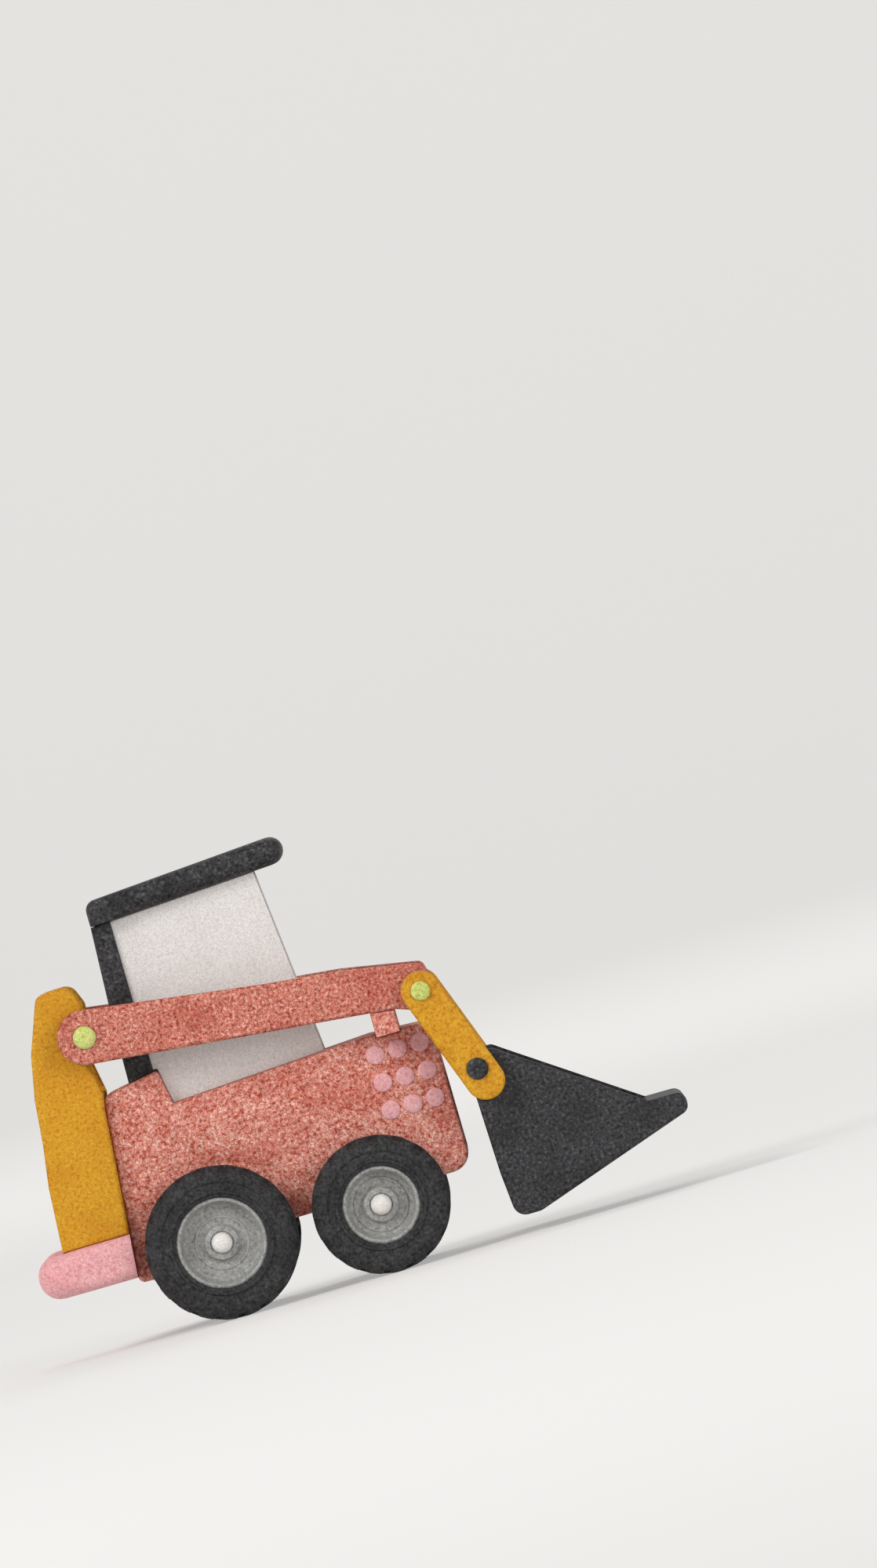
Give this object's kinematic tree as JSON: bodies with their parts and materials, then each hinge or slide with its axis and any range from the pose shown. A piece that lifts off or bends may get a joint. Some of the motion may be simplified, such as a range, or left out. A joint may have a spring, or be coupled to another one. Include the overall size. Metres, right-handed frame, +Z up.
{
  "type": "toy front loader",
  "caption": "Toy skid-steer front loader: boxy body, open-front cab, rear tower, swinging lift arms with links, tilting bucket and free-rolling wheels.",
  "frame": {"origin": "on the floor, at the middle of the toy's length and width", "axes": "+X forward towards the bucket, +Y to the toy's left, +Z up"},
  "size_m": [0.305, 0.132, 0.2056],
  "materials": {
    "coral_plastic": "matte, finely heathered",
    "arm_plastic": "matte, finely heathered, a shade deeper than the body",
    "ochre_plastic": "matte, finely speckled",
    "pink_plastic": "matte, finely speckled",
    "charcoal_plastic": "matte with light flecks",
    "milky_panel": "opaque milky off-white, satin",
    "white_plastic": "off-white, satin",
    "lime_plastic": "matte yellow-green",
    "grey_rim": "speckled mid grey, satin",
    "tyre_rubber": "matt rubber",
    "steel": "bright drawn steel"
  },
  "bodies": {
    "chassis": {"body_shell": "coral_plastic", "base_plate": "charcoal_plastic", "rear_tower": "ochre_plastic", "rear_bumper": "pink_plastic", "cab_roof": "charcoal_plastic", "cab_rear_frame": "charcoal_plastic", "cab_window_left": "milky_panel", "cab_window_right": "milky_panel", "cab_rear_window": "milky_panel", "driver_seat": "charcoal_plastic", "vent_insert_left": "pink_plastic", "vent_insert_right": "pink_plastic", "base_plate_screws": "steel", "bumper_screws": "steel", "rear_wall_screws": "steel", "rear_bush_left": "white_plastic", "rear_bush_right": "white_plastic", "front_bush_left": "white_plastic", "front_bush_right": "white_plastic", "arm_pivot_pin_left": "lime_plastic", "arm_pivot_pin_right": "lime_plastic", "arm_washer_left": "charcoal_plastic", "arm_washer_right": "charcoal_plastic"},
    "rear_axle": {"rear_axle_rod": "steel", "rear_rim_left": "grey_rim", "rear_rim_right": "grey_rim", "rear_tyre_left": "tyre_rubber", "rear_tyre_right": "tyre_rubber", "rear_hub_cap_left": "white_plastic", "rear_hub_cap_right": "white_plastic"},
    "front_axle": {"front_axle_rod": "steel", "front_rim_left": "grey_rim", "front_rim_right": "grey_rim", "front_tyre_left": "tyre_rubber", "front_tyre_right": "tyre_rubber", "front_hub_cap_left": "white_plastic", "front_hub_cap_right": "white_plastic"},
    "lift_arms": {"lift_arm_left": "arm_plastic", "lift_arm_right": "arm_plastic", "arm_cross_tube": "charcoal_plastic", "link_pin_left": "lime_plastic", "link_pin_right": "lime_plastic"},
    "links": {"bucket_link_left": "ochre_plastic", "bucket_link_right": "ochre_plastic", "link_cross_tube": "charcoal_plastic", "bucket_pin_left": "charcoal_plastic", "bucket_pin_right": "charcoal_plastic"},
    "bucket": {"bucket": "charcoal_plastic"}
  },
  "joints": [
    {"name": "rear_axle_spin", "type": "hinge", "parent": "chassis", "child": "rear_axle", "pos_m": [-0.0675, 0, 0.035], "axis": [0, 1, 0], "continuous": true},
    {"name": "front_axle_spin", "type": "hinge", "parent": "chassis", "child": "front_axle", "pos_m": [0.0065, 0, 0.0315], "axis": [0, 1, 0], "continuous": true},
    {"name": "arm_lift", "type": "hinge", "parent": "chassis", "child": "lift_arms", "pos_m": [-0.1015, 0, 0.1415], "axis": [0, -1, 0], "range_deg": [0, 60]},
    {"name": "link_swing", "type": "hinge", "parent": "lift_arms", "child": "links", "pos_m": [0.0505, 0, 0.1195], "axis": [0, -1, 0], "range_deg": [0, 45]},
    {"name": "bucket_tilt", "type": "hinge", "parent": "links", "child": "bucket", "pos_m": [0.0655, 0, 0.0785], "axis": [0, -1, 0], "range_deg": [-15, 45]}
  ]
}
